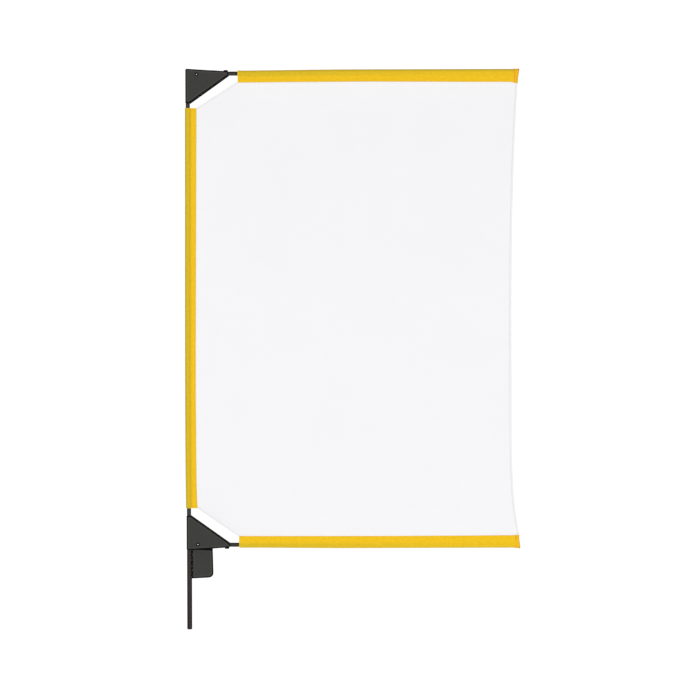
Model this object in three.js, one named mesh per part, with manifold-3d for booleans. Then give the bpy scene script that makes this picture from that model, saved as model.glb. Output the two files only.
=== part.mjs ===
// Open-end grip scrim: a three-sided folding rod frame with a grip pin, carrying a fabric rag.
// Millimetres, +Z up. The origin is the middle of the grip pin's foot. The frame lies in the XZ plane,
// the spine stands on the left and both arms reach along +X; the front faces -Y.
import * as THREE from "three";
import { mergeVertices } from "three/addons/utils/BufferGeometryUtils.js";
import Module from "manifold-3d";

const wasm = await Module();
wasm.setup();

// ---- Frame sizes ---------------------------------------------------------------------------------
const ARM_SPACING = 895; // between the axes of the two arms
const ARM_REACH = 622; // spine axis to the open end of an arm
const LOWER_ARM_HEIGHT = 160; // foot of the pin to the axis of the lower arm
const ROD_DIAMETER = 7.9375;
const ROD_WALL = 0.9;
const SPINE_SETBACK = 0.7; // spine axis to the left of the pin axis
const ARM_OFFSET = 5.2; // each arm lies this far off the middle plane, so the two pass when folded

// ---- Corner brackets -----------------------------------------------------------------------------
const SHEET = 1.5;
const BEND_RADIUS = 3; // outside of the fold
const BRACKET_ALONG_ARM = 78;
const BRACKET_DOWN_SPINE = 56;
const RISE_AT_SPINE = 9.3; // outer edge above the arm axis, at the spine
const RISE_AT_TIP = 3.8;
const TIP_DROP = 3.2; // lower corner of the tip below the arm axis
const CORNER_RADIUS = 2;
const CHEEK_RADIUS = 1; // at the tip and at the foot of a cheek
const TIP_LEAN = 1.5; // the tip leans back this far from its lower to its upper corner
const WEB_LENGTH = 44; // folded web along the outer edge, from the spine
const EAR_START = 68.5;
const EAR_WIDTH = 7.6;
const EAR_CLEARANCE = 1; // room for the stop pad between the arm and the ear
const PAD_MARGIN = 0.3; // the pad is this much shorter than the ear at each end
const ARM_SIDE_CLEARANCE = 0.35; // arm to the nearer cheek

// ---- Pivots --------------------------------------------------------------------------------------
const PIVOT_ALONG = 17.4;
const PIVOT_INSET = 1.8; // pivot axis inside the arm axis
const RIVET_BODY = 4.8;
const RIVET_HEAD = 7;
const RIVET_HEAD_THICKNESS = 0.9;
const RIVET_BORE = 2.8;
const SPACER_DIAMETER = 8.2;
const WASHER_DIAMETER = 9;
const EYE_THICKNESS = 2.4; // the arm's flattened end
const FLAT_END = 25; // from the spine axis: flattened up to here
const ROUND_FROM = 36; // round again from here
const PLUG_SHANK = 12;
const PLUG_RIM = 0.4;
const PLUG_DOME = 2;

// ---- Spine blocks, grip pin and paddle -------------------------------------------------------------
const BLOCK_CHAMFER = 2.2;
const SPIGOT_LENGTH = 20;
const TENON_DIAMETER = 4;
const PIN_STUD_LENGTH = 18; // how far the lower tenon reaches into the pin
const PIN_DIAMETER = 9.525;
const PIN_CHAMFER = 1;
const PIN_SEGMENTS = 36;
const PADDLE_THICKNESS = 3;
const PADDLE_REACH = 44.2; // pin axis to the paddle's outer edge
const PADDLE_FOOT = 96.6; // above the foot of the pin
const PADDLE_SPREAD = 1.4; // the lower outer corner lies this much further out
const PADDLE_LIFT = 2; // and this much higher
const PADDLE_RADIUS = 10;

// ---- Rag -----------------------------------------------------------------------------------------
const POCKET_BORE_CLEARANCE = 0.4; // rod to the inside of a sleeve
const POCKET_WALL = 0.8;
const ARM_SLEEVE_START = 95; // from the spine axis
const ARM_SLEEVE_DEPTH = 17; // arm axis to the sleeve's inner edge
const SPINE_SLEEVE_DEPTH = 15.9;
const LOWER_SLEEVE_GAP = 70; // lower arm axis to the end of the spine sleeve
const UPPER_SLEEVE_GAP = 65; // and from its other end to the upper arm axis
const CLOTH_FOLD = 1.4; // thickness of a sleeve's sewn edge
const END_BINDING = 3.2; // length of the closing band beyond the arm's outer end
const TAPE_THICKNESS = 0.8;
const TAPE_MARGIN = 5;
const PANEL_THICKNESS = 0.6;
const FREE_EDGE_DIP = 15; // how far the free edge curves in
const FREE_EDGE_LOW = 0.38; // where the curve is deepest, as a share of the panel's height
const FREE_EDGE_TURN = 0.12; // how soon it curves in above the lower arm, as a share of that part
const FREE_EDGE_INSET = 1; // free edge inside the upper sleeve's end

// ---- Clearances ----------------------------------------------------------------------------------
const FACE_GAP = 0.1; // between flat faces that meet
const FIT_GAP = 0.3; // between a piece and what it passes through, on the radius
const CLOTH_GAP = 0.3;
const SEGMENTS = 24;

// ---- Derived -------------------------------------------------------------------------------------
const rod = ROD_DIAMETER / 2;
const bore = rod - ROD_WALL;
const innerFace = ARM_OFFSET + rod + ARM_SIDE_CLEARANCE; // cheek's inner face, from the middle plane
const outerFace = innerFace + SHEET;
const upperArmHeight = LOWER_ARM_HEIGHT + ARM_SPACING;
const eyeWidth = EYE_THICKNESS + (Math.PI * (ROD_DIAMETER - EYE_THICKNESS)) / 2; // same girth as the rod
const outerSlope = (RISE_AT_TIP - RISE_AT_SPINE) / (BRACKET_ALONG_ARM + rod);
const outerEdge = (x) => RISE_AT_SPINE + outerSlope * (x + rod);
const outerAngle = Math.atan(outerSlope);
const pocket = rod + POCKET_BORE_CLEARANCE;
const pocketOuter = pocket + POCKET_WALL;
const blockTop = outerEdge(rod) - SHEET - FACE_GAP;
const bindingStart = ARM_REACH + FACE_GAP + PLUG_RIM + PLUG_DOME + CLOTH_GAP;
const ragReach = bindingStart + END_BINDING; // the rag's outer edge, from the spine axis

// ---- Helpers -------------------------------------------------------------------------------------
function solid(geometry) {
  const bare = geometry.clone();
  bare.deleteAttribute("normal");
  bare.deleteAttribute("uv");
  const merged = mergeVertices(bare, 1e-4);
  const mesh = new wasm.Mesh({
    numProp: 3,
    vertProperties: new Float32Array(merged.attributes.position.array),
    triVerts: new Uint32Array(merged.index.array),
  });
  return new wasm.Manifold(mesh);
}

function geometryOf(manifold) {
  const mesh = manifold.getMesh();
  const geometry = new THREE.BufferGeometry();
  geometry.setAttribute("position", new THREE.BufferAttribute(new Float32Array(mesh.vertProperties), 3));
  geometry.setIndex(new THREE.BufferAttribute(new Uint32Array(mesh.triVerts), 1));
  geometry.computeVertexNormals();
  return geometry;
}

// An outline through corner points, each with its own rounding radius (0 is a sharp corner).
function roundedShape(corners) {
  const shape = new THREE.Shape();
  corners.forEach(([x, y, radius = 0], i) => {
    const here = new THREE.Vector2(x, y);
    const [before, after] = [corners.at(i - 1), corners[(i + 1) % corners.length]]
      .map(([cx, cy]) => new THREE.Vector2(cx, cy).sub(here).normalize());
    const half = Math.acos(THREE.MathUtils.clamp(before.dot(after), -1, 1)) / 2;
    const back = radius ? radius / Math.tan(half) : 0;
    const start = here.clone().addScaledVector(before, back);
    const end = here.clone().addScaledVector(after, back);
    if (i === 0) shape.moveTo(start.x, start.y);
    else shape.lineTo(start.x, start.y);
    if (radius) shape.quadraticCurveTo(x, y, end.x, end.y);
  });
  shape.closePath();
  return shape;
}

const extrude = (shape, depth, curveSegments = 5) =>
  new THREE.ExtrudeGeometry(shape, { depth, bevelEnabled: false, curveSegments });

// A shape drawn in (x, z), from y0 to y1.
const plateAlongY = (shape, y0, y1) =>
  extrude(shape, y1 - y0).rotateX(Math.PI / 2).translate(0, y1, 0);

// A shape drawn in (y, z), from x0 to x1.
function barAlongX(shape, x0, x1, curveSegments) {
  const turn = new THREE.Matrix4().makeBasis(
    new THREE.Vector3(0, 1, 0), new THREE.Vector3(0, 0, 1), new THREE.Vector3(1, 0, 0));
  return extrude(shape, x1 - x0, curveSegments).applyMatrix4(turn).translate(x0, 0, 0);
}

const rectangle = (a0, b0, a1, b1) => roundedShape([[a0, b0], [a1, b0], [a1, b1], [a0, b1]]);

// A turned piece from (radius, distance along the axis) points, standing along +Z.
function turned(profile, segments = SEGMENTS) {
  const points = profile.map(([radius, along]) => new THREE.Vector2(radius, along));
  return new THREE.LatheGeometry([...points, points[0].clone()], segments).rotateX(Math.PI / 2);
}

const ring = (inner, outer, start, end) =>
  turned([[inner, start], [outer, start], [outer, end], [inner, end]]);

const rodShape = (radius, start, end) =>
  turned([[0, start], [radius, start], [radius, end], [0, end]]);

const alongX = (geometry) => geometry.rotateY(Math.PI / 2);
const alongY = (geometry) => geometry.rotateX(-Math.PI / 2);

// ---- Materials -----------------------------------------------------------------------------------
const material = (color, roughness, metalness) =>
  new THREE.MeshStandardMaterial({ color, roughness, metalness });
const powderCoat = material(0x42413c, 0.5, 0.3);
const blackRod = material(0x322f2d, 0.42, 0.5);
const pinSteel = material(0x37332f, 0.35, 0.7);
const zinc = material(0xa4a49e, 0.35, 0.9);
const blackRivet = material(0x24221f, 0.4, 0.6);
const nylon = material(0x1c1c1c, 0.6, 0);
const rubber = material(0x161616, 0.85, 0);
const yellowCloth = material(0xefc01e, 0.85, 0);
const bindingCloth = material(0xf0ae10, 0.85, 0);
const whiteCloth = material(0xf2f2f5, 0.8, 0);
const blackTape = material(0x202020, 0.95, 0);

function piece(name, geometry, skin, place = [0, 0, 0]) {
  const mesh = new THREE.Mesh(geometry, skin);
  mesh.name = name;
  mesh.position.set(...place);
  return mesh;
}

// ---- Corner: bracket, spine block, pivot, arm and arm sleeve -----------------------------------------
// Drawn for the upper corner: the spine axis and the arm axis cross at (0, 0), the arm runs along +X and
// the spine goes down. The lower corner is the same parts turned half a turn about X.
function bracketGeometry() {
  const low = outerEdge(WEB_LENGTH) - BEND_RADIUS;
  const cheek = roundedShape([
    [-rod, -BRACKET_DOWN_SPINE, CHEEK_RADIUS],
    [rod, -BRACKET_DOWN_SPINE, CHEEK_RADIUS],
    [BRACKET_ALONG_ARM, -TIP_DROP, CHEEK_RADIUS],
    [BRACKET_ALONG_ARM - TIP_LEAN, outerEdge(BRACKET_ALONG_ARM), CHEEK_RADIUS],
    [WEB_LENGTH, outerEdge(WEB_LENGTH)],
    [WEB_LENGTH, low],
    [-rod, outerEdge(-rod) - BEND_RADIUS],
  ]);
  const fold = new THREE.Shape();
  const legs = -3 * BEND_RADIUS;
  const inside = BEND_RADIUS - SHEET;
  fold.moveTo(-outerFace, legs);
  fold.lineTo(-innerFace, legs);
  fold.lineTo(-innerFace, -BEND_RADIUS);
  fold.absarc(-innerFace + inside, -BEND_RADIUS, inside, Math.PI, Math.PI / 2, true);
  fold.absarc(innerFace - inside, -BEND_RADIUS, inside, Math.PI / 2, 0, true);
  fold.lineTo(innerFace, legs);
  fold.lineTo(outerFace, legs);
  fold.lineTo(outerFace, -BEND_RADIUS);
  fold.absarc(outerFace - BEND_RADIUS, -BEND_RADIUS, BEND_RADIUS, 0, Math.PI / 2);
  fold.absarc(BEND_RADIUS - outerFace, -BEND_RADIUS, BEND_RADIUS, Math.PI / 2, Math.PI);
  fold.closePath();
  const web = barAlongX(fold, -2 * rod, WEB_LENGTH + 2 * rod)
    .rotateY(-outerAngle)
    .translate(0, 0, outerEdge(0));
  const trim = roundedShape([
    [-rod, -BEND_RADIUS],
    [WEB_LENGTH, -BEND_RADIUS],
    [WEB_LENGTH, 2 * RISE_AT_SPINE],
    [CORNER_RADIUS - rod, 2 * RISE_AT_SPINE],
    [CORNER_RADIUS - rod, outerEdge(-rod), CORNER_RADIUS / 2],
    [-rod, outerEdge(-rod) - CORNER_RADIUS, CORNER_RADIUS / 2],
  ]);
  let body = solid(web).intersect(solid(plateAlongY(trim, -2 * outerFace, 2 * outerFace)));
  for (const [y0, y1] of [[-outerFace, -innerFace], [innerFace, outerFace]]) {
    body = body.add(solid(plateAlongY(cheek, y0, y1)));
  }
  // The stop ear bends out of the front cheek and reaches over the arm.
  const earInside = rod + EAR_CLEARANCE;
  const ear = new THREE.Shape();
  ear.moveTo(-outerFace, 0);
  ear.lineTo(-innerFace, 0);
  ear.lineTo(-innerFace, earInside - inside);
  ear.absarc(-innerFace + inside, earInside - inside, inside, Math.PI, Math.PI / 2, true);
  ear.lineTo(outerFace, earInside);
  ear.lineTo(outerFace, earInside + SHEET);
  ear.lineTo(BEND_RADIUS - outerFace, earInside + SHEET);
  ear.absarc(BEND_RADIUS - outerFace, earInside + SHEET - BEND_RADIUS, BEND_RADIUS, Math.PI / 2, Math.PI);
  ear.closePath();
  body = body.add(solid(barAlongX(ear, EAR_START, EAR_START + EAR_WIDTH)));
  const pivotHole = alongY(rodShape(RIVET_BODY / 2 + FIT_GAP / 2, -2 * outerFace, 2 * outerFace))
    .translate(PIVOT_ALONG, 0, -PIVOT_INSET);
  const tenonHole = rodShape(TENON_DIAMETER / 2 + FIT_GAP / 2, 0, 2 * RISE_AT_SPINE)
    .translate(SPINE_SETBACK, 0, 0);
  return geometryOf(body.subtract(solid(pivotHole)).subtract(solid(tenonHole)));
}

// The block fills the bracket at the spine. A spigot below carries the spine tube and a tenon above, on
// the pin's axis, goes through the web.
function blockGeometry(tenonTop) {
  const half = innerFace - FACE_GAP;
  const section = [
    [-half, -BRACKET_DOWN_SPINE],
    [half, -BRACKET_DOWN_SPINE],
    [half, blockTop - BLOCK_CHAMFER],
    [half - BLOCK_CHAMFER, blockTop],
    [BLOCK_CHAMFER - half, blockTop],
    [-half, blockTop - BLOCK_CHAMFER],
  ];
  const spigot = rodShape(bore - FIT_GAP / 2, -BRACKET_DOWN_SPINE - SPIGOT_LENGTH, 1 - BRACKET_DOWN_SPINE);
  const tenon = rodShape(TENON_DIAMETER / 2, blockTop - 1, tenonTop).translate(SPINE_SETBACK, 0, 0);
  return geometryOf(solid(barAlongX(roundedShape(section), -rod, rod)).add(solid(spigot)).add(solid(tenon)));
}

// The arm is a tube. Its pivot end is pressed flat into an eye that keeps the tube's girth.
function armGeometry() {
  const steps = 6;
  const outer = [PIVOT_ALONG - eyeWidth, FLAT_END];
  for (let i = 1; i <= steps; i += 1) outer.push(FLAT_END + ((ROUND_FROM - FLAT_END) * i) / steps);
  outer.push(ARM_REACH);
  const profile = [[0, outer[0]], ...outer.map((x) => [rod, x]), [bore, ARM_REACH], [bore, ROUND_FROM],
    [0, ROUND_FROM]];
  const tube = alongX(turned(profile));
  const spots = tube.attributes.position;
  for (let i = 0; i < spots.count; i += 1) {
    const flat = 1 - THREE.MathUtils.smoothstep(spots.getX(i), FLAT_END, ROUND_FROM);
    const thin = THREE.MathUtils.lerp(1, EYE_THICKNESS / ROD_DIAMETER, flat);
    const wide = THREE.MathUtils.lerp(1, eyeWidth / ROD_DIAMETER, flat);
    spots.setY(i, spots.getY(i) * thin);
    spots.setZ(i, spots.getZ(i) * wide - PIVOT_INSET * flat);
  }
  const eyeEnd = alongY(rodShape(eyeWidth / 2, -rod, rod)).translate(PIVOT_ALONG, 0, -PIVOT_INSET);
  const beyond = barAlongX(rectangle(-2 * rod, -3 * rod, 2 * rod, 3 * rod), PIVOT_ALONG, ARM_REACH + 1);
  const hole = alongY(rodShape(RIVET_BODY / 2 + FIT_GAP / 2, -2 * rod, 2 * rod))
    .translate(PIVOT_ALONG, 0, -PIVOT_INSET);
  const keep = solid(eyeEnd).add(solid(beyond));
  return geometryOf(solid(tube).intersect(keep).subtract(solid(hole)));
}

function endPlugGeometry() {
  const start = ARM_REACH + FACE_GAP;
  const shank = bore - FIT_GAP / 2;
  const profile = [[0, start - PLUG_SHANK], [shank, start - PLUG_SHANK], [shank, start], [rod, start]];
  const steps = 4;
  for (let i = 0; i < steps; i += 1) {
    const angle = (i * Math.PI) / (2 * steps);
    profile.push([rod * Math.cos(angle), start + PLUG_RIM + PLUG_DOME * Math.sin(angle)]);
  }
  profile.push([0, start + PLUG_RIM + PLUG_DOME]);
  return alongX(turned(profile));
}

// A tubular rivet: a hollow shank with a head on each cheek.
function rivetGeometry() {
  const head = outerFace + FACE_GAP;
  const top = head + RIVET_HEAD_THICKNESS;
  const lip = RIVET_HEAD_THICKNESS / 2;
  return alongY(turned([
    [RIVET_BORE / 2, -top + lip],
    [RIVET_BORE / 2 + lip, -top],
    [RIVET_HEAD / 2 - lip, -top],
    [RIVET_HEAD / 2, -top + lip],
    [RIVET_HEAD / 2, -head],
    [RIVET_BODY / 2, -head],
    [RIVET_BODY / 2, head],
    [RIVET_HEAD / 2, head],
    [RIVET_HEAD / 2, top - lip],
    [RIVET_HEAD / 2 - lip, top],
    [RIVET_BORE / 2 + lip, top],
    [RIVET_BORE / 2, top - lip],
  ]));
}

// A sleeve's outside: a round pocket around the rod, with a sewn edge that runs to the middle plane.
function sleeveOutside(start, end) {
  const edge = -ARM_SLEEVE_DEPTH;
  const lean = Math.atan2(ARM_OFFSET, ARM_SLEEVE_DEPTH);
  const half = CLOTH_FOLD / 2;
  const topY = -ARM_OFFSET * Math.cos(lean);
  const slant = half * Math.sin(lean);
  const tail = roundedShape([
    [half, edge],
    [topY + half, -pocket - slant],
    [topY - half, -pocket + slant],
    [-half, edge],
  ]);
  const tube = alongX(rodShape(pocketOuter, start, end)).translate(0, -ARM_OFFSET, 0);
  return solid(tube).add(solid(barAlongX(tail, start, end)));
}

function armSleeveGeometry(start, end) {
  const hole = alongX(rodShape(pocket, start - 1, end + 1)).translate(0, -ARM_OFFSET, 0);
  return geometryOf(sleeveOutside(start, end).subtract(solid(hole)));
}

// The binding closes the sleeve beyond the arm's end, so the rag can't slide in.
const endBindingGeometry = (start, end) => geometryOf(sleeveOutside(start, end));

function corner(side, tenonTop) {
  const group = new THREE.Group();
  const pivot = [PIVOT_ALONG, 0, -PIVOT_INSET];
  const eyeFace = ARM_OFFSET + EYE_THICKNESS / 2;
  const washer = ring(RIVET_BODY / 2 + FIT_GAP / 2, WASHER_DIAMETER / 2, eyeFace + FACE_GAP,
    innerFace - FACE_GAP);
  const spacer = ring(RIVET_BODY / 2 + FIT_GAP / 2, SPACER_DIAMETER / 2,
    FACE_GAP + EYE_THICKNESS / 2 - ARM_OFFSET, innerFace - FACE_GAP);
  const padWidth = 2 * (innerFace - (BEND_RADIUS - SHEET) - ARM_OFFSET); // clear of the ear's bend
  const pad = new THREE.BoxGeometry(EAR_WIDTH - 2 * PAD_MARGIN, padWidth, EAR_CLEARANCE - 2 * FACE_GAP);
  group.add(
    piece(`${side}_bracket`, bracketGeometry(), powderCoat),
    piece(`${side}_spine_block`, blockGeometry(tenonTop), powderCoat),
    piece(`${side}_pivot_rivet`, rivetGeometry(), blackRivet, pivot),
    piece(`${side}_friction_washer`, alongY(washer).rotateZ(Math.PI), zinc, pivot),
    piece(`${side}_pivot_spacer`, alongY(spacer), nylon, pivot),
    piece(`${side}_stop_pad`, pad, rubber,
      [EAR_START + EAR_WIDTH / 2, -ARM_OFFSET, rod + EAR_CLEARANCE / 2]),
    piece(`${side}_arm`, armGeometry(), blackRod, [0, -ARM_OFFSET, 0]),
    piece(`${side}_arm_end_plug`, endPlugGeometry(), nylon, [0, -ARM_OFFSET, 0]),
    piece(`${side}_sleeve`, armSleeveGeometry(ARM_SLEEVE_START, bindingStart - CLOTH_GAP), yellowCloth),
    piece(`${side}_sleeve_end_binding`, endBindingGeometry(bindingStart, ragReach),
      bindingCloth),
  );
  return group;
}

// ---- Spine, pin and paddle ---------------------------------------------------------------------------
const spineBottom = LOWER_ARM_HEIGHT + BRACKET_DOWN_SPINE + FACE_GAP;
const spineTop = upperArmHeight - BRACKET_DOWN_SPINE - FACE_GAP;

// Height of the lower bracket's outer face above the foot of the pin, at a distance from the pin axis.
const underBracket = (x) => LOWER_ARM_HEIGHT - outerEdge(x + SPINE_SETBACK) - FACE_GAP;

function pinGeometry() {
  const radius = PIN_DIAMETER / 2;
  const blank = turned([
    [0, 0],
    [radius - PIN_CHAMFER, 0],
    [radius, PIN_CHAMFER],
    [radius, LOWER_ARM_HEIGHT],
    [0, LOWER_ARM_HEIGHT],
  ], PIN_SEGMENTS);
  const side = 2 * radius;
  const under = roundedShape([[-side, -1], [side, -1], [side, underBracket(side)], [-side, underBracket(-side)]]);
  const studHole = rodShape(TENON_DIAMETER / 2 + FIT_GAP / 2, underBracket(0) - PIN_STUD_LENGTH - 1,
    LOWER_ARM_HEIGHT + 1);
  return geometryOf(solid(blank).intersect(solid(plateAlongY(under, -side, side))).subtract(solid(studHole)));
}

function paddleGeometry() {
  const edge = PIN_DIAMETER / 2 + FACE_GAP;
  const outline = roundedShape([
    [edge, PADDLE_FOOT],
    [PADDLE_REACH + PADDLE_SPREAD, PADDLE_FOOT + PADDLE_LIFT, PADDLE_RADIUS],
    [PADDLE_REACH, underBracket(PADDLE_REACH)],
    [edge, underBracket(edge)],
  ]);
  return plateAlongY(outline, -PADDLE_THICKNESS / 2, PADDLE_THICKNESS / 2);
}

// ---- Rag -----------------------------------------------------------------------------------------
const spineSleeveBottom = LOWER_ARM_HEIGHT + LOWER_SLEEVE_GAP;
const spineSleeveTop = upperArmHeight - UPPER_SLEEVE_GAP;

// The spine sleeve wraps the tube. Its front edge is sewn to the panel and its back flap closes on the
// front edge with hook and loop tape.
const frontFace = -CLOTH_FOLD / 2;
const loopFace = CLOTH_FOLD / 2 + FACE_GAP;
const hookFace = loopFace + TAPE_THICKNESS + FACE_GAP;
const flapFace = hookFace + TAPE_THICKNESS + FACE_GAP;

function spineSleeveGeometry() {
  const length = spineSleeveTop - spineSleeveBottom;
  const tube = rodShape(pocketOuter, 0, length);
  const hole = rodShape(pocket, -1, length + 1);
  const front = extrude(rectangle(pocket, frontFace, SPINE_SLEEVE_DEPTH, -frontFace), length);
  const flap = extrude(rectangle(bore, flapFace, SPINE_SLEEVE_DEPTH, flapFace + CLOTH_FOLD / 2), length);
  return geometryOf(solid(tube).add(solid(front)).add(solid(flap)).subtract(solid(hole)));
}

function tapeGeometry() {
  const length = spineSleeveTop - spineSleeveBottom - 2 * TAPE_MARGIN;
  const width = SPINE_SLEEVE_DEPTH - pocketOuter - 2 * FIT_GAP;
  return new THREE.BoxGeometry(width, TAPE_THICKNESS, length);
}

// The panel's free edge curves in between the arms, deepest below the middle.
function panelGeometry() {
  const left = SPINE_SLEEVE_DEPTH + CLOTH_GAP;
  const bottom = LOWER_ARM_HEIGHT + ARM_SLEEVE_DEPTH + CLOTH_GAP;
  const top = upperArmHeight - ARM_SLEEVE_DEPTH - CLOTH_GAP;
  const deepest = bottom + (top - bottom) * FREE_EDGE_LOW;
  const shape = new THREE.Shape();
  shape.moveTo(left, spineSleeveBottom);
  shape.lineTo(ARM_SLEEVE_START, bottom);
  shape.lineTo(ragReach, bottom);
  shape.quadraticCurveTo(ragReach - FREE_EDGE_DIP, bottom + (deepest - bottom) * FREE_EDGE_TURN,
    ragReach - FREE_EDGE_DIP, deepest);
  shape.quadraticCurveTo(ragReach - FREE_EDGE_DIP, deepest + (top - deepest) / 2,
    ragReach - FREE_EDGE_INSET, top);
  shape.lineTo(ARM_SLEEVE_START, top);
  shape.lineTo(left, spineSleeveTop);
  shape.closePath();
  return extrude(shape, PANEL_THICKNESS, 12).rotateX(Math.PI / 2).translate(0, PANEL_THICKNESS / 2, 0);
}

// ---- Assembly ------------------------------------------------------------------------------------
const scrim = new THREE.Group();

const upperCorner = corner("upper", outerEdge(SPINE_SETBACK));
upperCorner.position.set(-SPINE_SETBACK, 0, upperArmHeight);

const lowerCorner = corner("lower", outerEdge(SPINE_SETBACK) + PIN_STUD_LENGTH);
lowerCorner.position.set(-SPINE_SETBACK, 0, LOWER_ARM_HEIGHT);
lowerCorner.rotation.x = Math.PI;

const tapeX = (pocketOuter + SPINE_SLEEVE_DEPTH) / 2;
const tapeZ = (spineSleeveBottom + spineSleeveTop) / 2;
const spine = new THREE.Group();
spine.position.x = -SPINE_SETBACK;
spine.add(
  piece("spine_tube", ring(bore, rod, spineBottom, spineTop), blackRod),
  piece("spine_sleeve", spineSleeveGeometry(), yellowCloth, [0, 0, spineSleeveBottom]),
  piece("loop_tape", tapeGeometry(), blackTape, [tapeX, loopFace + TAPE_THICKNESS / 2, tapeZ]),
  piece("hook_tape", tapeGeometry(), blackTape, [tapeX, hookFace + TAPE_THICKNESS / 2, tapeZ]),
  piece("panel", panelGeometry(), whiteCloth),
);

scrim.add(
  upperCorner,
  lowerCorner,
  spine,
  piece("grip_pin", pinGeometry(), pinSteel),
  piece("paddle_plate", paddleGeometry(), powderCoat),
);

export default scrim;
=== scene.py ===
"""Open-end grip scrim: the fabric, finishes, light and camera around the fixed frame."""

import math

import bmesh
import bpy
import numpy as np
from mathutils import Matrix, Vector, noise


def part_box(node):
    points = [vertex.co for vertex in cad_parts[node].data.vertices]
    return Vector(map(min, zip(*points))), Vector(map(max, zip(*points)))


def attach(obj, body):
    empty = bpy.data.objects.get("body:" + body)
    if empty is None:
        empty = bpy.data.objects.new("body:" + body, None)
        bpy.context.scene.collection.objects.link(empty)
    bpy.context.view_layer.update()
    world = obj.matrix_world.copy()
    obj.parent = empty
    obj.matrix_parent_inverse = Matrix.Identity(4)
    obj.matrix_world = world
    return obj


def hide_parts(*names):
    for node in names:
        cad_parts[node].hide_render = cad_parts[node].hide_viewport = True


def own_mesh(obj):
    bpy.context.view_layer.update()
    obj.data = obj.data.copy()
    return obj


bl_info = {
    "name": "Open-End Grip Scrim",
    "version": (1, 0, 0),
    "blender": (4, 5, 0),
    "location": "View3D > Sidebar > Scrim",
    "description": "Builds the cloth and the finishes of an open-end grip scrim",
    "category": "Object",
}

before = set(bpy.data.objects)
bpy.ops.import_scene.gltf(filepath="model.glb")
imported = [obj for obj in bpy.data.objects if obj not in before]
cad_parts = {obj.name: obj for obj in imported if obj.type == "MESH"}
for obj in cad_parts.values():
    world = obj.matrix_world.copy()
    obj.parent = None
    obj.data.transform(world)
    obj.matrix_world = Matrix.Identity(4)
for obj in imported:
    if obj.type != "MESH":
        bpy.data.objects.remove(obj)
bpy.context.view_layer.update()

MM = 0.001
ROOT = "frame"
SIDES = ("upper", "lower")
SEED = 7


# ---- Places taken from the frame ------------------------------------------------------------------

def middle(node):
    low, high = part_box(node)
    return (low + high) / 2


def span(node, axis):
    low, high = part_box(node)
    return low[axis], high[axis]


SPINE_X = middle("spine_tube").x
ROD_RADIUS = (span("spine_tube", 0)[1] - span("spine_tube", 0)[0]) / 2
SPINE_SLEEVE_Z = span("spine_sleeve", 2)
BAND_END_X = span("spine_sleeve", 0)[1]
ARM_SLEEVE_X = (span("upper_sleeve", 0)[0], span("upper_sleeve_end_binding", 0)[1] + 1.4 * MM)
PANEL_X = span("panel", 0)
PANEL_Z = span("panel", 2)


def arm_axis(side):
    """(y, z) of an arm's axis. Its end plug is round and shares that axis."""
    plug = middle(f"{side}_arm_end_plug")
    return plug.y, plug.z


# Heights of the arm sleeves' inner edges, where the panel is sewn in.
SLEEVE_EDGE = {"upper": span("upper_sleeve", 2)[0], "lower": span("lower_sleeve", 2)[1]}


# ---- Settings -------------------------------------------------------------------------------------

def length(name, description, default):
    return bpy.props.FloatProperty(
        name=name, description=description, default=default, min=0, precision=5, unit="LENGTH"
    )


def colour(name, description, default):
    return bpy.props.FloatVectorProperty(
        name=name, description=description, default=default, size=3, min=0, max=1, subtype="COLOR"
    )


class ScrimSizes(bpy.types.PropertyGroup):
    cloth: length("Cloth", "Thickness of one layer of sleeve cloth", 0.45 * MM)
    silk: length("Silk", "Thickness of the panel's cloth", 0.25 * MM)
    pocket: length("Pocket", "Radius of a sleeve around its rod", 4.95 * MM)
    hem: length("Hem", "Width of the panel's hems", 4.2 * MM)
    binding: length("Binding", "Length of the band that closes each arm sleeve", 10 * MM)
    stitch: length("Stitch", "Length of one stitch", 2.6 * MM)
    stitch_gap: length("Stitch Gap", "Gap between two stitches", 1.0 * MM)
    thread: length("Thread", "Thickness of the thread", 0.42 * MM)
    ripple: length("Ripple", "Height of the panel's soft ripples", 0.3 * MM)
    ripple_pitch: length("Ripple Pitch", "Distance between the panel's ripples", 78 * MM)


class ScrimColours(bpy.types.PropertyGroup):
    coat: colour("Powder Coat", "Brackets and paddle", (0.017, 0.0165, 0.0135))
    rod: colour("Rod", "Spine and arms", (0.009, 0.007, 0.006))
    pin: colour("Pin", "Grip pin", (0.009, 0.0055, 0.0042))
    # Painted light: the sleeves' tone where light comes through the cloth, and a darker tone as painted shade
    # where the rod keeps that light back.
    yellow: colour("Yellow", "Sleeves, where light comes through", (0.98, 0.605, 0.009))
    yellow_backed: colour("Yellow over Rod", "Sleeves, where the rod is behind", (0.78, 0.54, 0.016))
    orange: colour("Bar Tack", "Dense stitching at the bindings", (1.0, 0.43, 0.006))
    silk: colour("Silk", "Panel", (0.945, 0.945, 0.965))


# ---- Shader helpers -------------------------------------------------------------------------------

class Signal:
    """A shader socket that works in a Python expression, by Math or Vector Math nodes."""

    def __init__(self, graph, socket):
        self.graph = graph
        self.socket = socket

    def _pair(self, operation, first, second):
        vector = self.socket.type != "VALUE"
        kind = "ShaderNodeVectorMath" if vector else "ShaderNodeMath"
        return self.graph.node(kind, {"operation": operation}, {0: first, 1: second})

    def __add__(self, other):
        return self._pair("ADD", self, other)

    __radd__ = __add__

    def __sub__(self, other):
        return self._pair("SUBTRACT", self, other)

    def __rsub__(self, other):
        return self._pair("SUBTRACT", other, self)

    def __mul__(self, other):
        return self._pair("MULTIPLY", self, other)

    __rmul__ = __mul__

    def least(self, other):
        return self._pair("MINIMUM", self, other)

    def sine(self):
        return self.graph.node("ShaderNodeMath", {"operation": "SINE"}, {0: self})

    def clamped(self, low, high):
        return self.graph.node("ShaderNodeClamp", {}, {"Value": self, "Min": low, "Max": high})


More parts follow.
